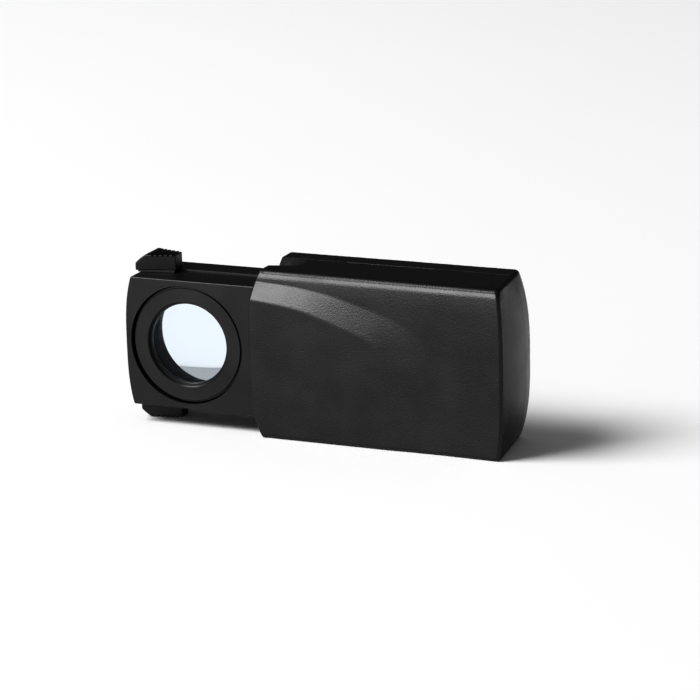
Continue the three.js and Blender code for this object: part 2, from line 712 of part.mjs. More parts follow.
const carriage = new THREE.Group();
carriage.add(
  piece('lens_cell', lensCell(), SATIN_BLACK()),
  piece('front_lens', frontLens(), COATED_GLASS()),
  piece('lens_spacer', lensSpacer(), MATT_BLACK()),
  piece('rear_lens', rearLens(), COATED_GLASS()),
  piece('retaining_ring', retainingRing(), MATT_BLACK()),
  piece('top_grip', topGrip(), SATIN_BLACK()),
  piece('bottom_grip', mirrored(topGrip()), SATIN_BLACK()),
);

const loupe = new THREE.Group();
loupe.add(sleeve, slide, carriage);

export default loupe;
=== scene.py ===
"""Looks of a pull-out pocket loupe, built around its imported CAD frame.

Shapes are worked out in millimetres in the frame's own axes (+X to the closed end, -Y the front,
+Z up) and turned into metres when a piece is finished.
"""

import json
import math

import bmesh
import bpy
import numpy as np
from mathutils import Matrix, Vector


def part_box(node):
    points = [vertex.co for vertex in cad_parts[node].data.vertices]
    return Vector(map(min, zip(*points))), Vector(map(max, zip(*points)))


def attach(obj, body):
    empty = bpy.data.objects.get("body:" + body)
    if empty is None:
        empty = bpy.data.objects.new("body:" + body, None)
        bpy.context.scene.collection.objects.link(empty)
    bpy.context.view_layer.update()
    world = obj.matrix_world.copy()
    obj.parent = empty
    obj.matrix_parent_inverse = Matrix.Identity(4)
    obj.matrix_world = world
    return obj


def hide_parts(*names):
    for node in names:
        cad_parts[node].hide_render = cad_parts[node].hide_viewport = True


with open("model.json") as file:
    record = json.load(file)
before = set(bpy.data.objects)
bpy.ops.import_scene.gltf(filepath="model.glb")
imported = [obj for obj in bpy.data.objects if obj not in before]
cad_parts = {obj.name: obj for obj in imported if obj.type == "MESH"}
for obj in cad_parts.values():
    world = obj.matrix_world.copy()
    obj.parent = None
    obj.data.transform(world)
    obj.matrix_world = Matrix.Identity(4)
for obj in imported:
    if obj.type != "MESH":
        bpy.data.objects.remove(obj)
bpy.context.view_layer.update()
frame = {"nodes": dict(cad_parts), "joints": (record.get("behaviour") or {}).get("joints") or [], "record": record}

MM = 0.001


def box_mm(node):
    """Lowest and highest corner of a CAD node, in millimetres."""
    low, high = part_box(node)
    return np.array(low) / MM, np.array(high) / MM


# ---------------------------------------------------------------- sizes read from the frame

cover_low, cover_high = box_mm("front_cover")
rear_low, rear_high = box_mm("rear_cover")
slide_low, slide_high = box_mm("slide_front_frame")
slide_rear_low, slide_rear_high = box_mm("slide_rear_frame")
cell_low, cell_high = box_mm("lens_cell")
grip_low, grip_high = box_mm("top_grip")
door_low, door_high = box_mm("battery_door")
glass_low, glass_high = box_mm("front_lens")
rear_glass_low, rear_glass_high = box_mm("rear_lens")
spacer_low, spacer_high = box_mm("lens_spacer")
ring_low, ring_high = box_mm("retaining_ring")
led_low, led_high = box_mm("led")

HEIGHT = cover_high[2]
MIDDLE_Z = HEIGHT / 2
FRONT_Y = cover_low[1]
BACK_Y = rear_high[1]
PARTING_Y = rear_low[1]
END_X = cover_high[0]
MOUTH_X = cover_low[0]
TRAVEL = frame["joints"][0]["range_m"][1] / MM
FOCUS = frame["joints"][1]["range_m"][1] / MM
RUN = 0.3  # running clearance

END_BULGE = 2.45  # how far the ends stand out between their corners
CORNER_X = END_X - END_BULGE
CORNER_R = 0.7
MOUTH_CORNER_R = 0.3
TOP_LEAN = (5.5, 0.3)  # height over which the front leans back near the top, and by how much
TOP_BROW = (2.0, 0.5)  # the same for the rounded brow above it
FRONT_EDGES = (0.9, 0.4, 0.8)  # rounding of the long edges, the mouth and the closed end
REAR_EDGES = (0.55, 0.45, 0.9)
PLAN_BULGE = 0.9  # crown of the closed end from front to back
FRONT_CORNER_X = CORNER_X + 0.9  # the closed end's corners stand further out on the front face
BACK_CORNER_X = CORNER_X - 0.8  # than on the back, where the end narrows

CHANNEL_FRONT = FRONT_Y + 1.9
CHANNEL_BACK = BACK_Y - 1.2
CHANNEL_WALL = 3.45  # top and bottom walls of the sleeve
CHANNEL_END = 25.4

SLIDE_LEFT = slide_low[0]
SLIDE_BULGE = 1.4
SLIDE_FRONT = slide_low[1]
SLIDE_BACK = slide_rear_high[1]
SLIDE_PARTING = slide_rear_low[1]
SLIDE_BOTTOM = slide_rear_low[2]
SLIDE_TOP = slide_rear_high[2]
SLIDE_STEP = 0.25  # the rear frame stands this far past the front one, top and bottom
ARM_END = slide_high[0]
ARM_HEIGHT = 5.0
INNER_END = ARM_END - 11.2
FLANGE = 1.15

STEM_X = (-51.6, -48.9)
STEM_HALF = 1.5
GRIP_MIDDLE = (grip_low[1] + grip_high[1]) / 2
GRIP_WIDE = (grip_high[1] - grip_low[1]) / 2
GRIP_NARROW = 1.7
GRIP_UNDERSIDE = SLIDE_TOP + 0.3

LENS_X = (glass_low[0] + glass_high[0]) / 2
CELL_FRONT = cell_low[1]
CELL_BACK = cell_high[1]
CELL_R = (ring_high[0] - ring_low[0]) / 2 + 2.24
EYE_R = CELL_R + RUN
HEAD_HEIGHT = 0.7  # of every screw
GROOVES = {"count": 5, "start": 3.6, "pitch": 1.08, "width": 0.5, "depth": 0.4, "flare": 0.12}

# ---------------------------------------------------------------- mesh helpers


def make_object(name, verts, faces):
    mesh = bpy.data.meshes.new(name)
    mesh.from_pydata([tuple(map(float, v)) for v in verts], [], faces)
    obj = bpy.data.objects.new(name, mesh)
    bpy.context.scene.collection.objects.link(obj)
    face_outwards(mesh)
    return obj


def face_outwards(mesh):
    bm = bmesh.new()
    bm.from_mesh(mesh)
    bmesh.ops.remove_doubles(bm, verts=bm.verts, dist=1e-5)
    bmesh.ops.recalc_face_normals(bm, faces=bm.faces)
    bm.to_mesh(mesh)
    bm.free()


def prism(name, outline, low, high, axis):
    """Closed outline carried along an axis: "y" takes (x, z) points and "z" takes (x, y) points."""
    place = {
        "y": lambda a, b, t: (a, t, b),
        "z": lambda a, b, t: (a, b, t),
    }[axis]
    count = len(outline)
    verts = [place(a, b, t) for t in (low, high) for a, b in outline]
    sides = [(i, (i + 1) % count, (i + 1) % count + count, i + count) for i in range(count)]
    caps = [tuple(range(count)), tuple(reversed(range(count, 2 * count)))]
    return make_object(name, verts, sides + caps)


def block(name, x, y, z):
    return prism(name, [(x[0], y[0]), (x[1], y[0]), (x[1], y[1]), (x[0], y[1])], z[0], z[1], "z")


def turned(name, x, z, profile, segments=128):
    """Body turned about an axis along Y; the profile is a closed loop of (radius, y)."""
    verts, rings = [], []
    for radius, y in profile:
        if radius < 1e-6:
            rings.append([len(verts)] * segments)
            verts.append((x, y, z))
            continue
        rings.append(list(range(len(verts), len(verts) + segments)))
        for step in range(segments):
            angle = 2 * math.pi * step / segments
            verts.append((x + radius * math.cos(angle), y, z + radius * math.sin(angle)))
    faces = []
    for i, ring in enumerate(rings):
        after = rings[(i + 1) % len(rings)]
        for step in range(segments):
            nxt = (step + 1) % segments
            corners = [ring[step], ring[nxt], after[nxt], after[step]]
            unique = list(dict.fromkeys(corners))
            if len(unique) > 2:
                faces.append(tuple(unique))
    return make_object(name, verts, faces)


def bake(obj):
    """Applies the modifiers."""
    graph = bpy.context.evaluated_depsgraph_get()
    baked = bpy.data.meshes.new_from_object(obj.evaluated_get(graph))
    old = obj.data
    obj.modifiers.clear()
    obj.data = baked
    bpy.data.meshes.remove(old)


def combine(obj, others, operation="DIFFERENCE"):
    """Cuts the others out of obj, or joins them to it; the others are used up."""
    for other in others:
        modifier = obj.modifiers.new("combine", "BOOLEAN")
        modifier.operation = operation
        modifier.solver = "EXACT"
        modifier.object = other
        bake(obj)
        mesh = other.data
        bpy.data.objects.remove(other)
        bpy.data.meshes.remove(mesh)
    return obj


def soften(obj, width, segments=3, angle=35):
    """Rounds the sharp edges."""
    modifier = obj.modifiers.new("soften", "BEVEL")
    modifier.width = width
    modifier.segments = segments
    modifier.limit_method = "ANGLE"
    modifier.angle_limit = math.radians(angle)
    modifier.miter_outer = "MITER_ARC"
    bake(obj)
    return obj


def mirror_z(obj, name):
    """Copy of a piece on the other side of the middle height."""
    mesh = obj.data.copy()
    for vert in mesh.vertices:
        vert.co.z = 2 * MIDDLE_Z - vert.co.z
    copy = bpy.data.objects.new(name, mesh)
    bpy.context.scene.collection.objects.link(copy)
    face_outwards(mesh)
    return copy


def both_sides(obj):
    return [obj, mirror_z(obj, obj.name + "_mirror")]


def finish_piece(obj, body, node, material, smooth_angle=35):
    """Piece to metres, shaded, painted and riding on its body in place of its CAD node."""
    scale = np.empty(len(obj.data.vertices) * 3, np.float32)
    obj.data.vertices.foreach_get("co", scale)
    obj.data.vertices.foreach_set("co", scale * MM)
    obj.data.update()
    obj.data.polygons.foreach_set("use_smooth", [True] * len(obj.data.polygons))
    obj.data.set_sharp_from_angle(angle=math.radians(smooth_angle))
    flatten = obj.modifiers.new("flatten", "WEIGHTED_NORMAL")
    flatten.keep_sharp = True
    bake(obj)
    obj.data.materials.clear()
    obj.data.materials.append(material)
    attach(obj, body)
    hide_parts(node)
    return obj


# ---------------------------------------------------------------- materials


class Nodes:
    """Short way to build a node tree."""

    def __init__(self, name):
        self.material = bpy.data.materials.new(name)
        self.material.use_nodes = True
        self.tree = self.material.node_tree
        self.tree.nodes.clear()
        self.output = self.add("ShaderNodeOutputMaterial")

    def add(self, kind, inputs=None, **settings):
        node = self.tree.nodes.new(kind)
        for key, value in settings.items():
            setattr(node, key, value)
        for key, value in (inputs or {}).items():
            if isinstance(value, bpy.types.NodeSocket):
                self.tree.links.new(value, node.inputs[key])
            else:
                node.inputs[key].default_value = value
        return node

    def noise(self, place, size, detail):
        """Noise whose patches are about the given size in millimetres."""
        inputs = {"Vector": place, "Scale": 1 / (size * MM), "Detail": detail}
        return self.add("ShaderNodeTexNoise", inputs)

    def surface(self, shader):
        self.tree.links.new(shader, self.output.inputs["Surface"])
        return self.material


def grey(value):
    return (value, value, value, 1)


def moulded_plastic(name, base, roughness, grain, depth, specular=0.5, tint=(1, 1, 1)):
    """Black moulded plastic: spark-eroded grain of a given size in mm, with slow mottling."""
    nodes = Nodes(name)
    place = nodes.add("ShaderNodeTexCoord").outputs["Object"]
    fine = nodes.noise(place, grain, 3.0)
    broad = nodes.noise(place, 9, 4.0)
    colour = nodes.add(
        "ShaderNodeMix",
        {
            "Factor": broad.outputs["Fac"],
            "A": (*[base * 0.8 * c for c in tint], 1),
            "B": (*[base * 1.2 * c for c in tint], 1),
        },
        data_type="RGBA",
    )
    rough = nodes.add(
        "ShaderNodeMapRange",
        {
            "Value": broad.outputs["Fac"],
            "From Min": 0.3,
            "From Max": 0.7,
            "To Min": roughness - 0.05,
            "To Max": roughness + 0.05,
        },
    )
    bump = nodes.add(
        "ShaderNodeBump",
        {"Height": fine.outputs["Fac"], "Strength": 1.0, "Distance": depth * MM},
    )
    shader = nodes.add(
        "ShaderNodeBsdfPrincipled",
        {
            "Base Color": colour.outputs["Result"],
            "Roughness": rough.outputs["Result"],
            "Specular IOR Level": specular,
            "Normal": bump.outputs["Normal"],
        },
    )
    return nodes.surface(shader.outputs["BSDF"])


def metal(name, colour, roughness, streak):
    """Bare metal with fine streaks along X and a little tarnish."""
    nodes = Nodes(name)
    place = nodes.add("ShaderNodeTexCoord").outputs["Object"]
    stretch = nodes.add("ShaderNodeMapping", {"Vector": place, "Scale": (0.08, 1, 1)})
    streaks = nodes.noise(stretch.outputs["Vector"], 0.05, 2.0)
    patches = nodes.noise(place, 1.5, 4.0)
    mix = nodes.add(
        "ShaderNodeMix",
        {
            "Factor": patches.outputs["Fac"],
            "A": (*colour, 1),
            "B": (*[c * 0.75 for c in colour], 1),
        },
        data_type="RGBA",
    )
    bump = nodes.add(
        "ShaderNodeBump",
        {"Height": streaks.outputs["Fac"], "Strength": 1.0, "Distance": streak * MM},
    )
    shader = nodes.add(
        "ShaderNodeBsdfPrincipled",
        {
            "Base Color": mix.outputs["Result"],
            "Metallic": 1.0,
            "Roughness": roughness,
            "Normal": bump.outputs["Normal"],
        },
    )
    return nodes.surface(shader.outputs["BSDF"])


def coated_glass():
    """Clear glass whose faces reflect a little blue and violet."""
    nodes = Nodes("coated_glass")
    rim = nodes.add("ShaderNodeLayerWeight", {"Blend": 0.35})
    tint = nodes.add(
        "ShaderNodeMix",
        {"Factor": rim.outputs["Facing"], "A": (0.975, 0.99, 1.0, 1), "B": (0.88, 0.93, 1.0, 1)},
        data_type="RGBA",
    )
    glass = nodes.add(
        "ShaderNodeBsdfRefraction",
        {"Color": tint.outputs["Result"], "Roughness": 0.0, "IOR": 1.52},
    )
    coat = nodes.add("ShaderNodeBsdfGlossy", {"Color": (0.75, 0.78, 1.0, 1), "Roughness": 0.02})
    fresnel = nodes.add("ShaderNodeFresnel", {"IOR": 1.12})
    mix = nodes.add(
        "ShaderNodeMixShader",
        {0: fresnel.outputs["Fac"], 1: glass.outputs["BSDF"], 2: coat.outputs["BSDF"]},
    )
    return nodes.surface(mix.outputs["Shader"])


def lamp_epoxy():
    """Clear lamp lens over a yellow phosphor."""
    nodes = Nodes("lamp_epoxy")
    place = nodes.add("ShaderNodeTexCoord").outputs["Generated"]
    depth = nodes.add("ShaderNodeSeparateXYZ", {"Vector": place})
    ramp = nodes.add("ShaderNodeValToRGB", {"Fac": depth.outputs["Y"]})
    ramp.color_ramp.elements[0].color = (0.75, 0.62, 0.12, 1)
    ramp.color_ramp.elements[1].color = (0.93, 0.95, 0.96, 1)
    ramp.color_ramp.elements[1].position = 0.7
    shader = nodes.add(
        "ShaderNodeBsdfPrincipled",
        {
            "Base Color": ramp.outputs["Color"],
            "Roughness": 0.06,
            "Transmission Weight": 0.35,
            "Coat Weight": 1.0,
        },
    )
    return nodes.surface(shader.outputs["BSDF"])


MATERIALS = {
    "case_black": moulded_plastic("case_black", 0.005, 0.34, 0.33, 0.034, 0.28),
    "slide_black": moulded_plastic("slide_black", 0.005, 0.34, 0.30, 0.014, 0.26),
    "cell_black": moulded_plastic("cell_black", 0.006, 0.34, 0.25, 0.008, 0.27),
    "grip_black": moulded_plastic("grip_black", 0.004, 0.38, 0.30, 0.015, 0.22),
    # painted reflection: the tubes inside the barrel get a grey base ten times lighter than the other blacks,
    # standing in for the light their inner wall catches through the lens
    "ring_black": moulded_plastic("ring_black", 0.05, 0.30, 0.12, 0.003, 0.9),
    "coated_glass": coated_glass(),
    "screw_steel": metal("screw_steel", (0.50, 0.50, 0.51), 0.35, 0.004),
    "cell_steel": metal("cell_steel", (0.68, 0.68, 0.69), 0.22, 0.002),
    "spring_steel": metal("spring_steel", (0.60, 0.60, 0.61), 0.25, 0.002),
    "contact_brass": metal("contact_brass", (0.76, 0.58, 0.26), 0.32, 0.003),
    "lamp_epoxy": lamp_epoxy(),
    "board_green": moulded_plastic("board_green", 0.10, 0.40, 0.5, 0.003, tint=(0.25, 1.4, 0.55)),
    "resistor_black": moulded_plastic("resistor_black", 0.02, 0.50, 0.2, 0.004),
    "wire_red": moulded_plastic("wire_red", 0.30, 0.35, 0.4, 0.003, tint=(1.5, 0.06, 0.05)),
}


def paint_cad_nodes():
    """The frame's own nodes take the procedural material of their slot."""
    for part in frame["record"]["subparts"]:
        obj = frame["nodes"][part["node"]]
        obj.data.materials.clear()
        obj.data.materials.append(MATERIALS[part["material_slot"]])


# ---------------------------------------------------------------- sleeve covers


def end_reach(z, radius=CORNER_R):
    """How far the sleeve's end stands from its middle at a height: corner round plus barrel."""
    z = np.asarray(z, float)
    to_edge = np.minimum(z, HEIGHT - z)
    into_corner = np.clip(1 - to_edge / radius, 0, 1)
    corner = radius * (1 - np.sqrt(np.clip(1 - into_corner**2, 0, 1)))
    barrel = END_BULGE * (1 - np.abs(2 * z / HEIGHT - 1) ** 4)
    return CORNER_X - corner + barrel


def eased(count, length, first):
    """Positions from 0 to length, closely spaced at both ends."""
    t = np.linspace(0, 1, count)
    return length * (t - (1 - first) * np.sin(2 * math.pi * t) / (2 * math.pi))


SCOOP_DEPTH = 1.15
SCOOP_LOWER = [
    (-31, 29.9), (-25, 29.6), (-16.4, 28.3), (-7.5, 25.4),
    (-1.6, 22.9), (1.0, 18.5), (1.8, 10.0), (1.8, -4.0),
]
SCOOP_UPPER = [
    (-31, 33.7), (-25, 33.4), (-16.2, 32.8), (-7.4, 31.2),
    (5.7, 27.0), (11.0, 21.5), (13.5, 10.0), (14.0, -4.0),
]
SCOOP_POLE = (-34.0, -6.0)


def spline(points, steps=24):
    """Catmull-Rom curve through the points."""
    p = np.array(points, float)
    p = np.vstack([2 * p[0] - p[1], p, 2 * p[-1] - p[-2]])
    t = np.linspace(0, 1, steps, endpoint=False)[:, None]
    rows = []
    for a, b, c, d in zip(p, p[1:], p[2:], p[3:]):
        bend, twist = 2 * a - 5 * b + 4 * c - d, 3 * b - a - 3 * c + d
        rows.append(0.5 * (2 * b + (c - a) * t + bend * t**2 + twist * t**3))
    return np.vstack(rows + [p[-2:-1]])


def polar_edge(points):
    """Curve as radius against angle about the scoop's pole."""
    offset = spline(points) - np.array(SCOOP_POLE)
    angle = np.arctan2(offset[:, 1], offset[:, 0])
    order = np.argsort(angle)
    return angle[order], np.hypot(offset[:, 0], offset[:, 1])[order]


LOWER_EDGE = polar_edge(SCOOP_LOWER)
UPPER_EDGE = polar_edge(SCOOP_UPPER)


def scoop_relief(x, z):
    """How far the front is sunk beside the raised rest: most at the mouth, nil at the end."""
    dx, dz = x - SCOOP_POLE[0], z - SCOOP_POLE[1]
    angle, radius = np.arctan2(dz, dx), np.hypot(dx, dz)
    lower = np.interp(angle, *LOWER_EDGE)
    upper = np.interp(angle, *UPPER_EDGE)
    share = np.clip((radius - lower) / (upper - lower), 0, 1)
    depth = SCOOP_DEPTH * np.clip((CORNER_X + 1 - x) / (2 * CORNER_X), 0, 1)
    return depth * share


def outline_loop(count=1400):
    """Dense outline of the sleeve in X and Z, anticlockwise from the bottom of the closed end."""
    turn = 0.5 - 0.5 * np.cos(np.linspace(0, math.pi, count // 2))
    z = turn * HEIGHT
    right = np.column_stack([end_reach(z), z])
    left = np.column_stack([-end_reach(z[::-1], MOUTH_CORNER_R), z[::-1]])
    span = end_reach(0) + end_reach(0, MOUTH_CORNER_R)
    x = end_reach(0) - span * np.linspace(0, 1, count // 2)[1:-1]
    top = np.column_stack([x, np.full_like(x, HEIGHT)])
    bottom = np.column_stack([x[::-1], np.zeros_like(x)])
    return np.vstack([right, top, left, bottom])


def edge_distance(points, loop):
    """Distance from each point to the loop, and the loop position nearest to it."""
    nearest = np.empty(len(points), int)
    distance = np.empty(len(points))
    for start in range(0, len(points), 2000):
        part = points[start : start + 2000]
        gap = ((part[:, None, :] - loop[None, :, :]) ** 2).sum(2)
        nearest[start : start + 2000] = gap.argmin(1)
        distance[start : start + 2000] = np.sqrt(gap.min(1))
    return distance, nearest


def crown_end(x, y, z):
    """The closed end is crowned from front to back and its corners draw in towards the back."""
    reach = end_reach(z)
    back_share = (y - FRONT_Y) / (BACK_Y - FRONT_Y)
    corner = FRONT_CORNER_X + (BACK_CORNER_X - FRONT_CORNER_X) * back_share
    middle = END_X - PLAN_BULGE * (y / BACK_Y) ** 2
    round_off = CORNER_X + END_BULGE * (1 - np.abs(2 * z / HEIGHT - 1) ** 4) - reach
    target = corner + (middle - corner) * (1 - np.abs(2 * z / HEIGHT - 1) ** 3) - round_off
    run = 8.0
    share = np.clip((x - (reach - run)) / run, 0, 1)
    return x - share**2 * (reach - target)


def cover_skin(name, face, rim, relief, edges, grid):
    """Half of the sleeve as a closed block: a face with rounded edges, its sides and a flat rim."""
    long_edge, mouth_edge, closed_edge = edges
    columns, rows = grid
    u = eased(columns, 1.0, 0.15)
    z = eased(rows, HEIGHT, 0.18)
    mouth, closed = end_reach(z, MOUTH_CORNER_R)[:, None], end_reach(z)[:, None]
    x_grid = (mouth + closed) * u[None, :] - mouth
    z_grid = np.repeat(z[:, None], columns, axis=1)
    loop = outline_loop()
    closed_share = np.clip((loop[:, 0] - CORNER_X + 0.8) / 1.2, 0, 1)
    mouth_share = np.clip((-loop[:, 0] - CORNER_X + 0.8) / 1.2, 0, 1)
    radii = long_edge + (closed_edge - long_edge) * closed_share
    radii += (mouth_edge - long_edge) * mouth_share
    points = np.column_stack([x_grid.ravel(), z_grid.ravel()])
    distance, nearest = edge_distance(points, loop)
    radius = radii[nearest]
    inside = np.clip(radius - distance, 0, None)
    drop = radius - np.sqrt(np.clip(radius**2 - inside**2, 0, None))
    inward = math.copysign(1, rim - face)
    y = face + inward * (relief(points[:, 0], points[:, 1]) + drop)
    verts = list(np.column_stack([crown_end(points[:, 0], y, points[:, 1]), y, points[:, 1]]))
    faces = []
    for j in range(rows - 1):
        for i in range(columns - 1):
            a = j * columns + i
            faces.append((a, a + 1, a + columns + 1, a + columns))
    border = (
        list(range(columns))
        + [j * columns + columns - 1 for j in range(1, rows)]
        + [(rows - 1) * columns + i for i in range(columns - 2, -1, -1)]
        + [j * columns for j in range(rows - 2, 0, -1)]
    )
    border_xz = points[border]
    normal = np.roll(border_xz, -1, 0) - np.roll(border_xz, 1, 0)
    normal = np.column_stack([normal[:, 1], -normal[:, 0]])
    normal /= np.linalg.norm(normal, axis=1)[:, None]
    seam = 0.04
    border_y = y[border]
    previous = border
    stops = [(0.25, 0), (0.5, 0), (0.75, 0), (1.0, 0), (1.0, seam)]
    for share, pull in stops:
        target = border_y + (rim - inward * (seam - pull) - border_y) * share
        xz = border_xz - normal * pull
        ring = list(range(len(verts), len(verts) + len(border)))
        verts.extend(np.column_stack([crown_end(xz[:, 0], target, xz[:, 1]), target, xz[:, 1]]))
        count = len(border)
        for k in range(count):
            n = (k + 1) % count
            faces.append((previous[k], previous[n], ring[n], ring[k]))
        previous = ring
    faces.append(tuple(previous))
    return make_object(name, verts, faces)


def notch_outline():
    """Plan of the tapered opening in the sleeve's mouth that takes the grips."""
    room = FOCUS + RUN
    wide, narrow = GRIP_WIDE + room, GRIP_NARROW + room
    mouth = grip_low[0] + TRAVEL
    tip = grip_high[0] + TRAVEL + RUN
    points = [(mouth - 6, GRIP_MIDDLE - wide), (mouth, GRIP_MIDDLE - wide)]
    for angle in range(-90, 91, 10):
        a = math.radians(angle)
        points.append((tip - 0.5 + 0.5 * math.cos(a), GRIP_MIDDLE + narrow * math.sin(a)))
    return points + [(mouth, GRIP_MIDDLE + wide), (mouth - 6, GRIP_MIDDLE + wide)]


def channel_cutter():
    return block(
        "channel",
        (MOUTH_X - 5, CHANNEL_END),
        (CHANNEL_FRONT, CHANNEL_BACK),
        (CHANNEL_WALL, HEIGHT - CHANNEL_WALL),
    )


def notch_cutter():
    return prism("notch", notch_outline(), -1, HEIGHT + 1, "z")


def post_centre(node):
    low, high = box_mm(node)
    return (low[0] + high[0]) / 2, (low[2] + high[2]) / 2


SCREW_HOLE = 0.9
COUNTERBORE = 1.4


def bore(name, x, z, radius, y0, y1, segments=48):
    return turned(name, x, z, [(0, y0), (radius, y0), (radius, y1), (0, y1)], segments)


def seated_hole(node, bottom, face):
    """Clearance hole for a screw, with a seat for its head sunk in the face."""
    x, z = post_centre(node)
    seat = box_mm(node)[1][1] - HEAD_HEIGHT
    shank = bore("hole", x, z, SCREW_HOLE, bottom, seat + 0.1)
    return [shank, bore("seat", x, z, COUNTERBORE, seat, face + 1)]


def build_front_cover():
    def relief(x, z):
        drawn_back = scoop_relief(x, z)
        for run, depth in (TOP_LEAN, TOP_BROW):
            drawn_back = drawn_back + depth * np.clip((z - (HEIGHT - run)) / run, 0, 1) ** 2
        return drawn_back

    cover = cover_skin("front_cover_shell", FRONT_Y, PARTING_Y, relief, FRONT_EDGES, (210, 150))
    inner, outer, floor = 4.95, 5.75, CHANNEL_FRONT - 0.05
    combine(cover, [channel_cutter(), notch_cutter(), pry_slot_cutter()])
    well = [(inner, floor), (outer, floor), (outer, PARTING_Y), (inner, PARTING_Y)]
    combine(cover, [turned("well", *post_centre("button_cell_1"), well, 64)], "UNION")
    post = post_centre("battery_door_screw")
    combine(cover, [bore("post", *post, 1.7, floor, CHANNEL_BACK - 0.1)], "UNION")
    combine(cover, [bore("post_hole", *post, SCREW_HOLE, 2.5, CHANNEL_BACK + 1)])
    for i in range(1, 5):
        place = post_centre(f"case_screw_{i}")
        combine(cover, [bore("hole", *place, SCREW_HOLE, 0.5, PARTING_Y + 1)])
    finish_piece(cover, "sleeve", "front_cover", MATERIALS["case_black"])


def build_rear_cover():
    def flat(x, z):
        return 0 * x

    cover = cover_skin("rear_cover_shell", BACK_Y, PARTING_Y, flat, REAR_EDGES, (130, 90))
    door_gap = 0.15
    opening = block(
        "opening",
        (door_low[0] + 1.1, door_high[0] + door_gap),
        (CHANNEL_BACK - 1, BACK_Y + 1),
        (door_low[2] - door_gap, door_high[2] + door_gap),
    )
    combine(cover, [channel_cutter(), notch_cutter(), opening])
    for i in range(1, 5):
        combine(cover, seated_hole(f"case_screw_{i}", PARTING_Y - 1, BACK_Y))
    finish_piece(cover, "sleeve", "rear_cover", MATERIALS["case_black"])


def pry_slot_cutter():
    """Thin slot along the seam on top, with a wider nick at each end, to prise the covers apart."""
    left, right, width, depth = -11.2, 8.2, 0.9, 1.6
    z = (HEIGHT - depth, HEIGHT + 1)
    slot = block("slot", (left, right), (PARTING_Y - width, PARTING_Y + 1), z)
    nicks = []
    for x in (left + 0.8, right - 0.8):
        y = (PARTING_Y - width - 0.35, PARTING_Y + 1)
        nicks.append(block("nick", (x - 0.5, x + 0.5), y, z))
    return combine(slot, nicks, "UNION")


def build_battery_door():
    low, high = door_low, door_high
    left = low[0] + 1.25
    lid = block("battery_lid", (left, high[0]), (CHANNEL_BACK, BACK_Y), (low[2], high[2]))
    soften(lid, 0.25)
    combine(lid, seated_hole("battery_door_screw", CHANNEL_BACK - 1, BACK_Y))
    tongue_y = (CHANNEL_BACK - 0.7, CHANNEL_BACK + 0.1)
    tongue = block("tongue", (low[0], left + 0.85), tongue_y, (12, 14))
    tip = block("tip", (low[0] - 1, left - 0.05), (CHANNEL_BACK - 0.05, CHANNEL_BACK + 1), (11, 15))
    combine(tongue, [tip])
    combine(lid, both_sides(tongue), "UNION")
    finish_piece(lid, "sleeve", "battery_door", MATERIALS["case_black"])


def build_screw(node, body):
    """Pan head with a rounded rim, a cross recess and a tapered tip."""
    low, high = box_mm(node)
    x, z = (low[0] + high[0]) / 2, (low[2] + high[2]) / 2
    head, top, tip = (high[0] - low[0]) / 2, high[1], low[1]
    seat, shank, rim = top - HEAD_HEIGHT, 0.6, 0.3
    profile = [(0, tip), (shank * 0.35, tip), (shank, tip + 0.9), (shank, seat)]
    profile += [(head, seat), (head, top - rim)]
    for angle in (30, 60, 90):
        a = math.radians(angle)
        profile.append((head - rim + rim * math.cos(a), top - rim + rim * math.sin(a)))
    profile.append((0, top))
    screw = turned(node + "_turned", x, z, profile, 48)
    blades = [
        block("blade", (x - a, x + a), (top - 0.4, top + 1), (z - b, z + b))
        for a, b in ((0.68, 0.12), (0.12, 0.68))
    ]
    combine(blades[0], [blades[1]], "UNION")
    combine(screw, [blades[0]])
    finish_piece(screw, body, node, MATERIALS["screw_steel"])


# ---------------------------------------------------------------- slide


def slide_outline(bottom, top):
    """The frame seen from the front: barrel-shaped head at the left, two guide arms at right."""
    corner, lean = 0.25, 0.2
    height = top - bottom
    z = bottom + height * (0.5 - 0.5 * np.cos(np.linspace(0, math.pi, 60)))
    to_edge = np.minimum(z - bottom, top - z)
    into = np.clip(1 - to_edge / corner, 0, 1)
    round_off = corner * (1 - np.sqrt(np.clip(1 - into**2, 0, 1)))
    along = 2 * (z - bottom) / height - 1
    barrel = SLIDE_BULGE * (1 - np.abs(along) ** 3.0)
    x = SLIDE_LEFT + SLIDE_BULGE + round_off - barrel + lean * along * np.abs(along)
    head = list(zip(x[::-1], z[::-1]))
    arms = [
        (ARM_END, bottom),
        (ARM_END, bottom + ARM_HEIGHT),
        (INNER_END, bottom + ARM_HEIGHT),
        (INNER_END, top - ARM_HEIGHT),
        (ARM_END, top - ARM_HEIGHT),
        (ARM_END, top),
    ]
    return head + arms


def stem_slots():
    half = STEM_HALF + FOCUS + RUN
    x = (STEM_X[0] - RUN, STEM_X[1] + RUN)
    y = (GRIP_MIDDLE - half, GRIP_MIDDLE + half)
    return both_sides(block("stem_slot", x, y, (27, SLIDE_TOP + 1)))


def wiring_bay():
    left, right, edge, front, back = -33.2, -19.8, 5.2, -4.6, 6.2
    bay = block("bay", (left, right), (front, back), (edge, HEIGHT - edge))
    x, z = post_centre("slide_screw_3")
    combine(bay, [bore("round", LENS_X, MIDDLE_Z, 14.1, front - 1, back + 1, 96)])
    combine(bay, [bore("post", x, z, 1.5, front - 1, back + 1)])
    arm_z = (HEIGHT - edge - 2.2, HEIGHT - edge)
    arm = block("arm_room", (right - 0.2, ARM_END - 1.4), (front, back), arm_z)
    return combine(bay, both_sides(arm), "UNION")


def eye_bore():
    return bore("eye", LENS_X, MIDDLE_Z, EYE_R, SLIDE_FRONT - 1, SLIDE_BACK - FLANGE, 192)


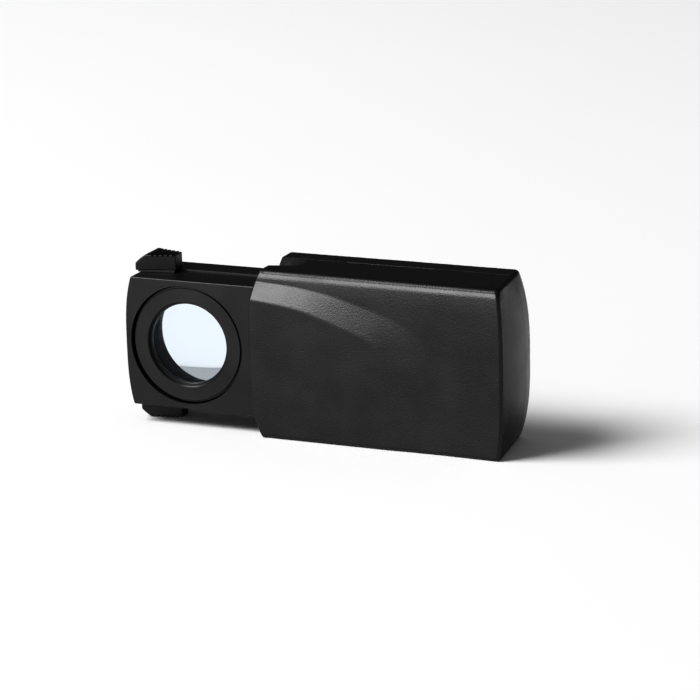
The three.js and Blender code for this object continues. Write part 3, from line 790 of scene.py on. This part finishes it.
def build_slide_front():
    outline = slide_outline(SLIDE_BOTTOM + SLIDE_STEP, SLIDE_TOP - SLIDE_STEP)
    body = prism("slide_front", outline, SLIDE_FRONT, SLIDE_PARTING, "y")
    combine(body, stem_slots())
    soften(body, 0.2, 4)
    combine(body, [eye_bore(), wiring_bay()])
    lug_z = (SLIDE_TOP - 0.8, slide_high[2])
    lug = block("lug", (ARM_END - 1.2, ARM_END - 0.05), (-4.5, -1.5), lug_z)
    combine(body, both_sides(lug), "UNION")
    window = block("window", (-12.8, -9.1), (SLIDE_FRONT - 1, -4.5), (28.7, 30.7))
    combine(body, both_sides(window))
    for i in (1, 2, 3):
        place = post_centre(f"slide_screw_{i}")
        combine(body, [bore("pilot", *place, SCREW_HOLE, -1.5, SLIDE_PARTING + 1)])
    finish_piece(body, "slide", "slide_front_frame", MATERIALS["slide_black"])


def build_slide_rear():
    outline = slide_outline(SLIDE_BOTTOM, SLIDE_TOP)
    body = prism("slide_rear", outline, SLIDE_PARTING, SLIDE_BACK, "y")
    window = bore("window", LENS_X, MIDDLE_Z, 11.2, 0, SLIDE_BACK + 1, 192)
    led_x, led_z = post_centre("led")
    combine(body, [eye_bore(), window] + stem_slots())
    combine(body, [bore("lamp_hole", led_x, led_z, 1.8, 4, SLIDE_BACK + 1)])
    for i in (1, 2, 3):
        combine(body, seated_hole(f"slide_screw_{i}", SLIDE_PARTING - 1, SLIDE_BACK))
    soften(body, 0.22, 3)
    combine(body, [wiring_bay()])
    finish_piece(body, "slide", "slide_rear_frame", MATERIALS["slide_black"])


def build_led():
    low, high = led_low, led_high
    x, z = post_centre("led")
    rim, radius = (high[0] - low[0]) / 2, 1.5
    base, tip = low[1], high[1]
    shoulder = tip - radius
    profile = [(0, base), (rim, base), (rim, base + 0.7)]
    profile += [(radius + 0.08, base + 0.85), (radius, base + 1.0)]
    for a in np.radians(range(0, 90, 6)):
        profile.append((radius * math.cos(a), shoulder + radius * math.sin(a)))
    profile.append((0, tip))
    lamp = turned("led_lens", x, z, profile, 64)
    finish_piece(lamp, "slide", "led", MATERIALS["lamp_epoxy"])


# ---------------------------------------------------------------- lens carriage


def build_lens_cell():
    """Barrel with a flat ring face, a stepped mouth and a lug for each grip."""
    front, back, outer = CELL_FRONT - 0.35, CELL_BACK, CELL_R
    lip, inner, step, shelf, inside = 9.15, 8.7, 0.9, 1.7, 10.6
    chamfer = 0.18
    profile = [
        (lip + chamfer, front), (outer - 0.42, front), (outer - 0.34, front + 0.08),
        (outer - 0.34, front + 0.6), (outer, front + 0.6),
        (outer, back), (inside, back), (inside, front + shelf), (inner, front + shelf),
        (inner, front + step + 0.1), (inner + 0.1, front + step),
        (lip, front + step), (lip, front + chamfer),
    ]
    cell = turned("lens_barrel", LENS_X, MIDDLE_Z, profile, 192)
    lug = block("lug", STEM_X, (GRIP_MIDDLE - STEM_HALF, GRIP_MIDDLE + STEM_HALF), (27.65, 31))
    combine(cell, both_sides(lug), "UNION")
    finish_piece(cell, "lens_carriage", "lens_cell", MATERIALS["cell_black"])


def crown_points(radius, rim_y, sag, steps=24):
    """Shallow sphere from its rim to the axis."""
    sphere = (radius**2 + sag**2) / (2 * abs(sag))
    points = []
    for r in np.linspace(radius, 0, steps):
        rise = math.sqrt(sphere**2 - r**2) - (sphere - abs(sag))
        points.append((r, rim_y + math.copysign(rise, sag)))
    return points


def build_lens(name, node, low, high, front_sag, back_sag):
    radius = (high[0] - low[0]) / 2
    rim_front, rim_back = low[1] + front_sag, high[1] - back_sag
    profile = crown_points(radius, rim_front, -front_sag)[::-1]
    profile += crown_points(radius, rim_back, back_sag)
    glass = turned(name, LENS_X, MIDDLE_Z, profile, 160)
    finish_piece(glass, "lens_carriage", node, MATERIALS["coated_glass"], 60)


def build_threaded_tube(name, node, low, high, inner, pitch):
    """Tube whose inside is stepped with fine grooves against stray light."""
    outer = (high[0] - low[0]) / 2
    y0, y1 = low[1], high[1]
    count = int((y1 - y0 - 0.2) / pitch)
    profile = [(outer, y0), (outer, y1), (inner, y1)]
    for i in range(count):
        y = y1 - 0.1 - i * pitch
        profile += [(inner, y), (inner + 0.18, y - pitch * 0.5)]
    profile.append((inner, y0))
    tube = turned(name, LENS_X, MIDDLE_Z, profile, 128)
    finish_piece(tube, "lens_carriage", node, MATERIALS["ring_black"])


def grip_outline():
    """Plan of a grip: a bowed wide end at the left, tapering to a blunt tip at the right."""
    bow, nose = 0.2, 0.25
    points = []
    for share in np.linspace(1, -1, 13):
        points.append((grip_low[0] + bow * share**2, GRIP_MIDDLE + GRIP_WIDE * share))
    for side in (-1, 1):
        corner = [(grip_high[0] - nose, GRIP_NARROW), (grip_high[0], GRIP_NARROW - nose)]
        for x, half in corner[::-side]:
            points.append((x, GRIP_MIDDLE + side * half))
    return points


def grip_brow():
    """What is cut off the wide end's upper corner, seen from the front, to leave it rounded."""
    low, top = grip_low[0], grip_high[2]
    start, pull, end = np.array([(low, top - 2.2), (low + 0.35, top - 1.35), (low + 2.3, top)])
    points = [(low + 2.3, top + 1), (low - 1, top + 1), (low - 1, top - 2.2)]
    for t in np.linspace(0, 1, 12):
        points.append(tuple((1 - t) ** 2 * start + 2 * t * (1 - t) * pull + t**2 * end))
    return points


def build_grips():
    """Ribbed wedges that stand just clear of the slide on stems through its slots."""
    low, high = grip_low, grip_high
    wedge = prism("top_grip_wedge", grip_outline(), GRIP_UNDERSIDE, high[2], "z")
    combine(wedge, [prism("brow", grip_brow(), low[1] - 1, high[1] + 1, "y")])
    soften(wedge, 0.3, 4, 50)
    depth, flare = GROOVES["depth"], GROOVES["flare"]
    grooves = []
    for i in range(GROOVES["count"]):
        left, top = low[0] + GROOVES["start"] + i * GROOVES["pitch"], high[2]
        right = left + GROOVES["width"]
        outline = [
            (left, top + 1), (left, top - depth / 2), (left + flare, top - depth),
            (right - flare, top - depth), (right, top - depth / 2), (right, top + 1),
        ]
        grooves.append(prism("groove", outline, low[1] - 1, high[1] + 1, "y"))
    combine(wedge, grooves)
    y = (GRIP_MIDDLE - STEM_HALF, GRIP_MIDDLE + STEM_HALF)
    foot_z = (SLIDE_TOP - SLIDE_STEP + 0.1, GRIP_UNDERSIDE + 0.05)
    foot_x = (low[0] + 0.45, high[0] - 0.4)
    foot_back = SLIDE_PARTING - FOCUS - 0.1
    foot_plan = [
        (foot_x[0], low[1] + 0.75),
        (foot_x[1], GRIP_MIDDLE - GRIP_NARROW + 0.1),
        (foot_x[1], foot_back),
        (foot_x[0], foot_back),
    ]
    foot = prism("foot", foot_plan, *foot_z, "z")
    stem = block("stem", STEM_X, y, (low[2], GRIP_UNDERSIDE + 0.3))
    combine(wedge, [foot, stem], "UNION")
    mirror = mirror_z(wedge, "bottom_grip_wedge")
    finish_piece(wedge, "lens_carriage", "top_grip", MATERIALS["grip_black"])
    finish_piece(mirror, "lens_carriage", "bottom_grip", MATERIALS["grip_black"])


# ---------------------------------------------------------------- stage


def build_floor():
    nodes = Nodes("floor_white")
    place = nodes.add("ShaderNodeTexCoord").outputs["Object"]
    mottle = nodes.add("ShaderNodeTexNoise", {"Vector": place, "Scale": 6.0, "Detail": 3.0})
    tone = nodes.add(
        "ShaderNodeMix",
        {"Factor": mottle.outputs["Fac"], "A": grey(0.88), "B": grey(0.90)},
        data_type="RGBA",
    )
    shader = nodes.add(
        "ShaderNodeBsdfPrincipled",
        {"Base Color": tone.outputs["Result"], "Roughness": 0.9, "Specular IOR Level": 0.1},
    )
    nodes.surface(shader.outputs["BSDF"])
    half = 6.0
    mesh = bpy.data.meshes.new("floor")
    corners = [(-half, -half, 0), (half, -half, 0), (half, half, 0), (-half, half, 0)]
    mesh.from_pydata(corners, [], [(0, 1, 2, 3)])
    mesh.materials.append(nodes.material)
    floor = bpy.data.objects.new("floor", mesh)
    bpy.context.scene.collection.objects.link(floor)


def area_light(name, location, target, size, power):
    light = bpy.data.lights.new(name, "AREA")
    light.shape = "RECTANGLE"
    light.size, light.size_y = size
    light.energy = power
    obj = bpy.data.objects.new(name, light)
    obj.location = location
    direction = Vector(target) - Vector(location)
    obj.rotation_mode = "QUATERNION"
    obj.rotation_quaternion = direction.to_track_quat("-Z", "Y")
    bpy.context.scene.collection.objects.link(obj)
    return obj


# Brightness of the surroundings for each kind of ray: white behind the object, a grey room through
# the glass, a faint fill on matt surfaces, and nearly black in what the object mirrors.
SURROUNDINGS = {
    "Is Camera Ray": 1.0,
    "Is Transmission Ray": 0.45,
    "Is Diffuse Ray": 0.20,
    "Is Glossy Ray": 0.05,
}


def studio_world():
    world = bpy.data.worlds.new("studio")
    world.use_nodes = True
    tree = world.node_tree
    path = tree.nodes.new("ShaderNodeLightPath")
    level = None
    for ray, brightness in SURROUNDINGS.items():
        share = tree.nodes.new("ShaderNodeMath")
        share.operation = "MULTIPLY_ADD"
        share.inputs[1].default_value = brightness
        share.inputs[2].default_value = 0.0
        tree.links.new(path.outputs[ray], share.inputs[0])
        if level:
            tree.links.new(level, share.inputs[2])
        level = share.outputs[0]
    background = tree.nodes["Background"]
    background.inputs["Color"].default_value = grey(1.0)
    tree.links.new(level, background.inputs["Strength"])
    bpy.context.scene.world = world


def build_lights():
    """A distant softbox at the upper left, and a card at the front left that is only a gleam."""
    studio_world()
    area_light("overhead", (-2.05, -1.38, 2.85), (0, 0, 0), (1.70, 2.10), 188.0)
    card = area_light("gleam_card", (-0.25, -0.60, 0.22), (0, 0, 0.018), (0.44, 0.30), 10.0)
    card.visible_diffuse = False
    card.visible_transmission = False


def build_camera():
    """Long lens a little above and to the right of the front."""
    azimuth, elevation, roll = math.radians(22.986), math.radians(15.931), math.radians(-1.440)
    distance = 0.57837
    target = Vector((-0.005431, FRONT_Y * MM, 0.020946))
    level = math.cos(elevation)
    back = Vector((math.sin(azimuth) * level, -math.cos(azimuth) * level, math.sin(elevation)))
    camera = bpy.data.cameras.new("camera")
    camera.sensor_width = 36
    camera.lens = 145.08
    camera.clip_start = 0.01
    obj = bpy.data.objects.new("camera", camera)
    obj.location = target + back * distance
    obj.rotation_euler = (-back).to_track_quat("-Z", "Y").to_euler()
    obj.rotation_euler.rotate_axis("Z", roll)
    bpy.context.scene.collection.objects.link(obj)
    bpy.context.scene.camera = obj


# ---------------------------------------------------------------- assembly

paint_cad_nodes()
build_front_cover()
build_rear_cover()
build_battery_door()
for number in range(1, 5):
    build_screw(f"case_screw_{number}", "sleeve")
build_screw("battery_door_screw", "sleeve")
for number in range(1, 4):
    build_screw(f"slide_screw_{number}", "slide")
build_slide_front()
build_slide_rear()
build_led()
build_lens_cell()
build_lens("front_glass", "front_lens", glass_low, glass_high, 0.9, 1.3)
build_lens("rear_glass", "rear_lens", rear_glass_low, rear_glass_high, 1.3, 0.9)
build_threaded_tube("spacer_tube", "lens_spacer", spacer_low, spacer_high, 9.2, 0.5)
build_threaded_tube("retaining_tube", "retaining_ring", ring_low, ring_high, 8.8, 0.4)
build_grips()

build_floor()
build_lights()
build_camera()
bpy.context.scene.view_settings.view_transform = "Standard"
bpy.context.scene.view_settings.gamma = 0.8  # contrasty: blacks go deep, white stays white
